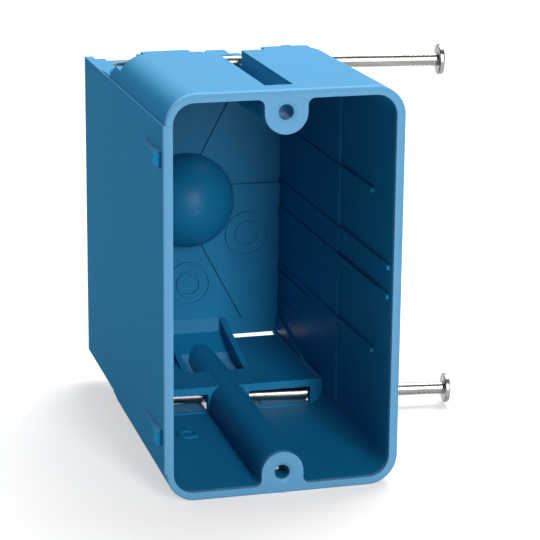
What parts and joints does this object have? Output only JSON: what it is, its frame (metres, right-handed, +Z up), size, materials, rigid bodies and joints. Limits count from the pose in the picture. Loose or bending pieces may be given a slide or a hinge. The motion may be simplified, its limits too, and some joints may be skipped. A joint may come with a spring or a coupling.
{
  "type": "outlet box",
  "caption": "Deep moulded plastic outlet box with screw bosses on its open front, a flat plate for the stud, cable entries at the rear and slanted mounting nails.",
  "frame": {"origin": "middle of the front opening plane, half way between the device screw holes", "axes": "+X to the right seen from the open front, +Y from the opening into the box, +Z up along the long side"},
  "size_m": [0.0866, 0.09, 0.0932],
  "materials": {
    "housing": "satin moulded plastic",
    "nail_steel": "bright drawn steel"
  },
  "bodies": {
    "root": {"box_body": "housing", "top_nail": "nail_steel", "bottom_nail": "nail_steel"}
  },
  "joints": []
}
